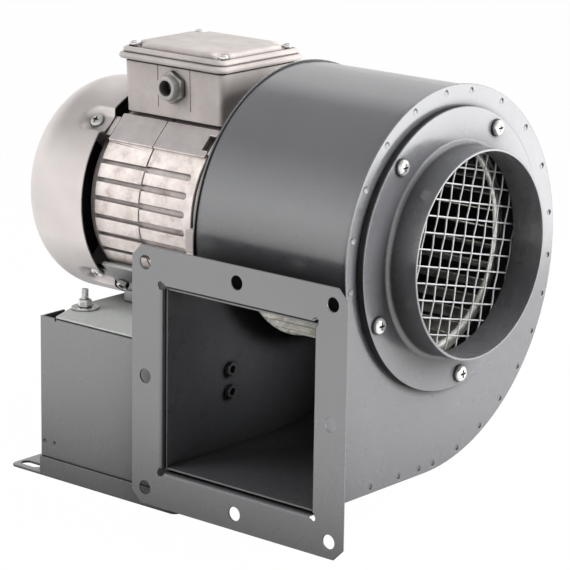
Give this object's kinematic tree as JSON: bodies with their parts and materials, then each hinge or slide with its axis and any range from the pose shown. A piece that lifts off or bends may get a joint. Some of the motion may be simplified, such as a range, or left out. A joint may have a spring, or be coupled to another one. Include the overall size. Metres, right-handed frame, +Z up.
{
  "type": "centrifugal fan",
  "caption": "Centrifugal fan with a scroll housing, round inlet spigot with wire guard, square outlet flange and a directly coupled motor on a sheet-metal pedestal.",
  "frame": {"origin": "on the shaft axis, in the plane of the inlet spigot's mouth", "axes": "+X along the shaft out of the inlet spigot, -Y out of the outlet flange, +Z up"},
  "size_m": [0.406, 0.293, 0.342],
  "materials": {
    "housing_paint": "semi-gloss grey paint with fine orange peel",
    "plate_paint": "satin light grey paint",
    "raw_cast": "raw die casting, slightly blotchy",
    "cowl_paint": "satin silver-grey paint",
    "box_cast": "satin casting",
    "gland_metal": "satin metal",
    "zinc": "zinc plated",
    "galvanised": "galvanised sheet",
    "steel": "machined steel",
    "black_rubber": "matt black",
    "dark_plastic": "matt dark plastic",
    "copper": "varnished copper wire",
    "brass": "plain brass"
  },
  "bodies": {
    "housing": {"scroll_band": "housing_paint", "inlet_side_plate": "housing_paint", "motor_side_plate": "housing_paint", "outlet_flange": "housing_paint", "inlet_ring": "housing_paint", "inlet_gasket": "black_rubber", "guard_upright_wires": "zinc", "guard_cross_wires": "zinc", "inlet_screws": "zinc", "inlet_screw_washers": "dark_plastic", "motor_frame": "raw_cast", "drive_end_shield": "box_cast", "fan_end_shield": "raw_cast", "shield_bolts": "zinc", "motor_face_bolts": "zinc", "stator_core": "steel", "stator_windings": "copper", "drive_bearing_outer_ring": "steel", "fan_bearing_outer_ring": "steel", "wave_washer": "steel", "shaft_seal": "black_rubber", "fan_cowl": "cowl_paint", "cowl_screws": "zinc", "terminal_box": "box_cast", "terminal_box_lid": "box_cast", "lid_gasket": "black_rubber", "lid_screws": "zinc", "box_screws": "zinc", "terminal_board": "dark_plastic", "terminal_studs": "brass", "cable_gland": "gland_metal", "gland_locknut": "zinc", "front_foot": "plate_paint", "rear_foot": "plate_paint", "foot_pad_bolts": "zinc", "foot_base_bolts": "zinc", "motor_plate": "plate_paint", "pedestal_front_panel": "housing_paint", "pedestal_rear_panel": "housing_paint", "front_base_rail": "housing_paint", "rear_base_rail": "housing_paint", "plate_studs": "zinc", "plate_stud_nuts": "zinc", "plate_stud_washers": "zinc", "pedestal_bolts": "housing_paint"},
    "rotor": {"shaft": "steel", "rotor_core": "steel", "drive_bearing_inner_ring": "steel", "fan_bearing_inner_ring": "steel", "cooling_fan": "dark_plastic", "fan_clip": "steel", "impeller_hub": "steel", "impeller_back_disc": "galvanised", "impeller_blades": "galvanised", "impeller_front_ring": "galvanised", "impeller_rivets": "zinc", "shaft_key": "steel", "impeller_end_bolt": "zinc"},
    "drive_balls": {"drive_bearing_balls": "steel"},
    "fan_balls": {"fan_bearing_balls": "steel"}
  },
  "joints": [
    {"name": "rotor_spin", "type": "hinge", "parent": "housing", "child": "rotor", "pos_m": [-0.2, 0, 0], "axis": [1, 0, 0], "continuous": true},
    {"name": "drive_balls_spin", "type": "hinge", "parent": "housing", "child": "drive_balls", "pos_m": [-0.232, 0, 0], "axis": [1, 0, 0], "continuous": true},
    {"name": "fan_balls_spin", "type": "hinge", "parent": "housing", "child": "fan_balls", "pos_m": [-0.339, 0, 0], "axis": [1, 0, 0], "continuous": true}
  ],
  "couplings": [
    {"joint": "drive_balls_spin", "follows": "rotor_spin", "ratio": 0.38209},
    {"joint": "fan_balls_spin", "follows": "rotor_spin", "ratio": 0.38209}
  ]
}
